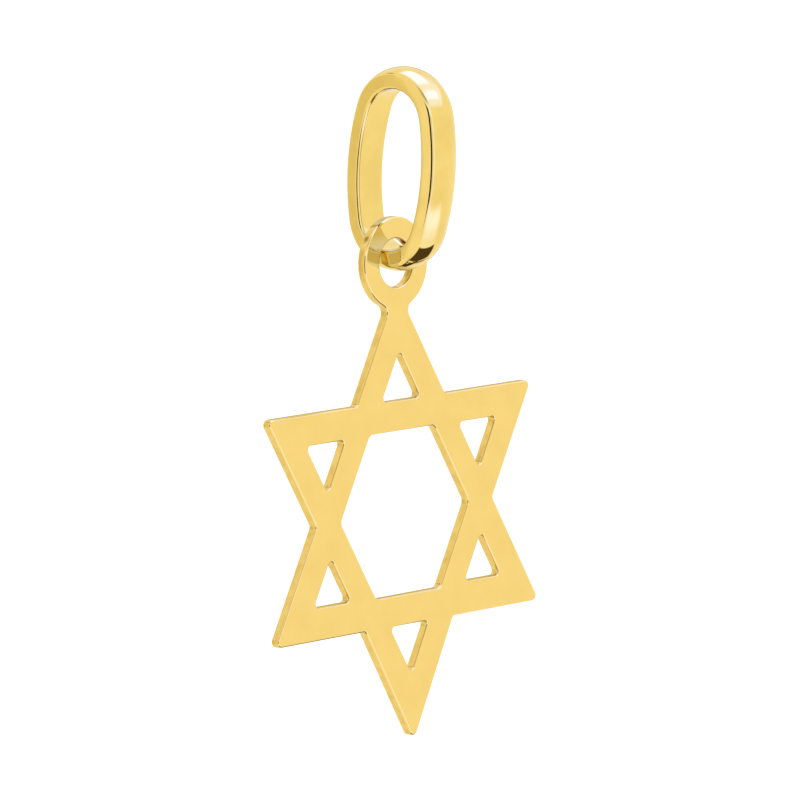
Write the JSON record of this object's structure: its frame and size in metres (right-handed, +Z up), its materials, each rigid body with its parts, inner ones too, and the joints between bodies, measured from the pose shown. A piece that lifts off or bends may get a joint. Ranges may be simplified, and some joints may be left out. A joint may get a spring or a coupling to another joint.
{
  "type": "star of david pendant",
  "caption": "Star of David pendant: a flat pierced star plate with an eye on its top tip, hung on an oval crowned bail that a chain runs through.",
  "frame": {"origin": "the place inside the top of the bail where the chain bears", "axes": "+Z up, from the star's lower tip to the bail; +X along the chain, to the right of someone facing the star; +Y from the star's front face to its back"},
  "size_m": [0.0138, 0.0045, 0.0241],
  "materials": {
    "bail": "mirror-polished 18 carat yellow gold",
    "star": "polished 18 carat yellow gold"
  },
  "bodies": {
    "bail": {"bail": "bail"},
    "star": {"star": "star"}
  },
  "joints": [
    {"name": "star_sway", "type": "hinge", "parent": "bail", "child": "star", "pos_m": [0, 0.00082, -0.00627], "axis": [0, 1, 0], "range_deg": [-120, 120]}
  ]
}
